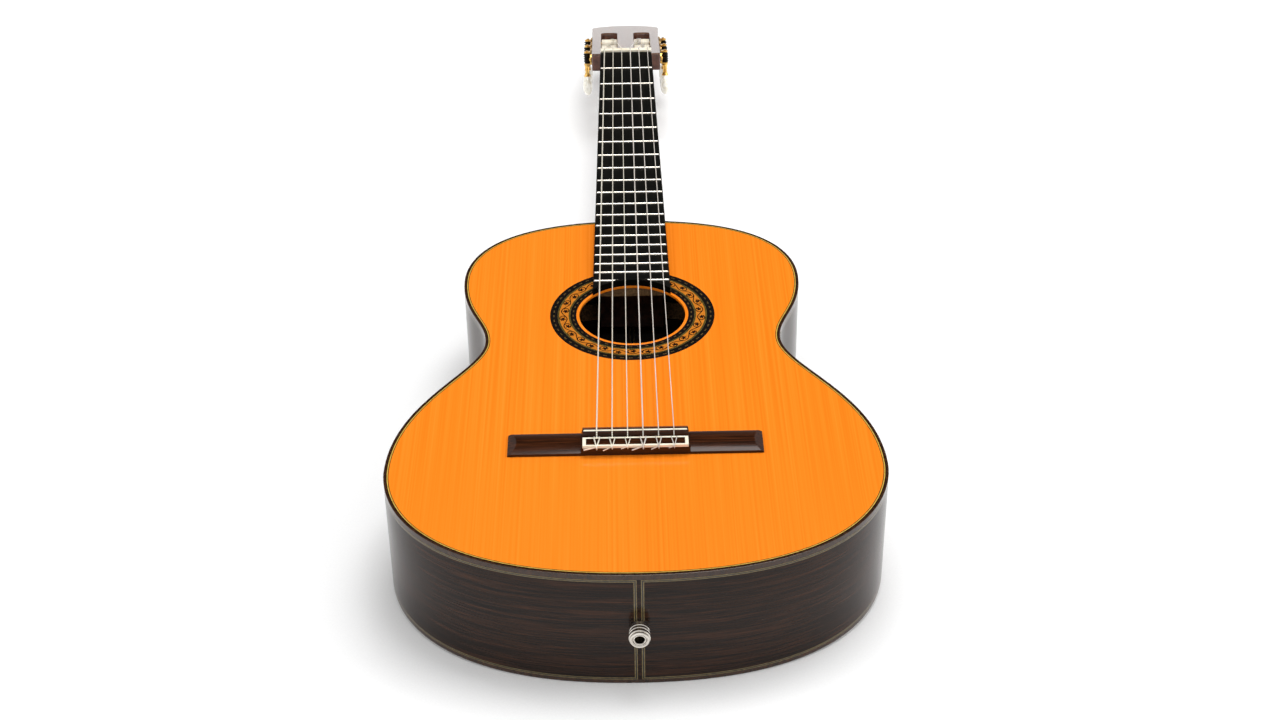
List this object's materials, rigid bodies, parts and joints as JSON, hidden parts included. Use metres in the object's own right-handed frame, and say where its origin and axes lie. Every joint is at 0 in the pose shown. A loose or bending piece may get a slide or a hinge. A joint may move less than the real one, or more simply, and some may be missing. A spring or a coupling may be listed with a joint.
{
  "type": "classical guitar",
  "caption": "Nylon-string classical guitar with a figure-eight body, slotted head, geared tuners, tied bridge and an end jack.",
  "frame": {"origin": "centre of the footprint, on the plane that the back rests on", "axes": "+Z out of the soundboard, +Y from the tail to the head, +X to the treble strings"},
  "size_m": [0.368, 0.9882, 0.1124],
  "materials": {
    "soundboard_wood": "orange gloss lacquer on spruce",
    "rosette_marquetry": "inlaid wood mosaic under gloss lacquer",
    "rosewood": "very dark rosewood under gloss lacquer",
    "binding_wood": "dark wood binding with fine light lines, gloss",
    "neck_wood": "brown cedar, satin",
    "inner_wood": "bare light wood",
    "ebony": "oiled near-black wood with nickel silver frets",
    "bone": "polished ivory-white bone",
    "gold_plate": "gold-plated brass",
    "black_gear": "blackened brass",
    "roller": "cream plastic roller on a steel shaft",
    "button": "pearl-like cream plastic on a gilt shaft",
    "wound_string": "silver-plated winding",
    "plain_string": "clear nylon",
    "nickel": "polished nickel plate",
    "pickup_strip": "shielded strip"
  },
  "bodies": {
    "guitar_body": {"soundboard": "soundboard_wood", "rosette": "rosette_marquetry", "back_bass": "rosewood", "back_treble": "rosewood", "back_center_strip": "inner_wood", "rib_bass": "rosewood", "rib_treble": "rosewood", "end_graft": "rosewood", "tail_block": "inner_wood", "neck": "neck_wood", "headstock": "neck_wood", "head_veneer": "rosewood", "fingerboard": "ebony", "nut": "bone", "heel_cap": "rosewood", "top_binding": "binding_wood", "back_binding": "binding_wood", "lining_top_bass": "inner_wood", "lining_top_treble": "inner_wood", "lining_back_bass": "inner_wood", "lining_back_treble": "inner_wood", "fan_bracing": "inner_wood", "upper_harmonic_bar": "inner_wood", "lower_harmonic_bar": "inner_wood", "back_brace_upper": "inner_wood", "back_brace_middle": "inner_wood", "back_brace_lower": "inner_wood", "bridge": "rosewood", "saddle": "bone", "tie_block_trim": "bone", "saddle_pickup": "pickup_strip", "jack_barrel": "nickel", "jack_cap": "nickel", "jack_nut": "nickel", "tuner_plate_bass": "gold_plate", "tuner_plate_treble": "gold_plate", "string_1": "plain_string", "string_2": "plain_string", "string_3": "plain_string", "string_4": "wound_string", "string_5": "wound_string", "string_6": "wound_string"},
    "knob_1": {"tuner_knob_1": "button"},
    "post_1": {"string_post_1": "roller", "gear_1": "black_gear"},
    "knob_2": {"tuner_knob_2": "button"},
    "post_2": {"string_post_2": "roller", "gear_2": "black_gear"},
    "knob_3": {"tuner_knob_3": "button"},
    "post_3": {"string_post_3": "roller", "gear_3": "black_gear"},
    "knob_4": {"tuner_knob_4": "button"},
    "post_4": {"string_post_4": "roller", "gear_4": "black_gear"},
    "knob_5": {"tuner_knob_5": "button"},
    "post_5": {"string_post_5": "roller", "gear_5": "black_gear"},
    "knob_6": {"tuner_knob_6": "button"},
    "post_6": {"string_post_6": "roller", "gear_6": "black_gear"}
  },
  "joints": [
    {"name": "tuner_knob_1_turn", "type": "hinge", "parent": "guitar_body", "child": "knob_1", "pos_m": [0.0397, 0.35196, 0.08434], "axis": [0, 0.2672, 0.9636], "continuous": true},
    {"name": "string_post_1_turn", "type": "hinge", "parent": "guitar_body", "child": "post_1", "pos_m": [0.017, 0.36106, 0.08182], "axis": [1, 0, 0], "continuous": true},
    {"name": "tuner_knob_2_turn", "type": "hinge", "parent": "guitar_body", "child": "knob_2", "pos_m": [0.0397, 0.38569, 0.07499], "axis": [0, 0.2672, 0.9636], "continuous": true},
    {"name": "string_post_2_turn", "type": "hinge", "parent": "guitar_body", "child": "post_2", "pos_m": [0.017, 0.39479, 0.07247], "axis": [1, 0, 0], "continuous": true},
    {"name": "tuner_knob_3_turn", "type": "hinge", "parent": "guitar_body", "child": "knob_3", "pos_m": [0.0397, 0.41941, 0.06564], "axis": [0, 0.2672, 0.9636], "continuous": true},
    {"name": "string_post_3_turn", "type": "hinge", "parent": "guitar_body", "child": "post_3", "pos_m": [0.017, 0.42852, 0.06311], "axis": [1, 0, 0], "continuous": true},
    {"name": "tuner_knob_4_turn", "type": "hinge", "parent": "guitar_body", "child": "knob_4", "pos_m": [-0.0397, 0.41941, 0.06564], "axis": [0, 0.2672, 0.9636], "continuous": true},
    {"name": "string_post_4_turn", "type": "hinge", "parent": "guitar_body", "child": "post_4", "pos_m": [-0.017, 0.42852, 0.06311], "axis": [1, 0, 0], "continuous": true},
    {"name": "tuner_knob_5_turn", "type": "hinge", "parent": "guitar_body", "child": "knob_5", "pos_m": [-0.0397, 0.38569, 0.07499], "axis": [0, 0.2672, 0.9636], "continuous": true},
    {"name": "string_post_5_turn", "type": "hinge", "parent": "guitar_body", "child": "post_5", "pos_m": [-0.017, 0.39479, 0.07247], "axis": [1, 0, 0], "continuous": true},
    {"name": "tuner_knob_6_turn", "type": "hinge", "parent": "guitar_body", "child": "knob_6", "pos_m": [-0.0397, 0.35196, 0.08434], "axis": [0, 0.2672, 0.9636], "continuous": true},
    {"name": "string_post_6_turn", "type": "hinge", "parent": "guitar_body", "child": "post_6", "pos_m": [-0.017, 0.36106, 0.08182], "axis": [1, 0, 0], "continuous": true}
  ],
  "couplings": [
    {"joint": "string_post_1_turn", "follows": "tuner_knob_1_turn", "ratio": 0.0625},
    {"joint": "string_post_2_turn", "follows": "tuner_knob_2_turn", "ratio": 0.0625},
    {"joint": "string_post_3_turn", "follows": "tuner_knob_3_turn", "ratio": 0.0625},
    {"joint": "string_post_4_turn", "follows": "tuner_knob_4_turn", "ratio": 0.0625},
    {"joint": "string_post_5_turn", "follows": "tuner_knob_5_turn", "ratio": 0.0625},
    {"joint": "string_post_6_turn", "follows": "tuner_knob_6_turn", "ratio": 0.0625}
  ]
}
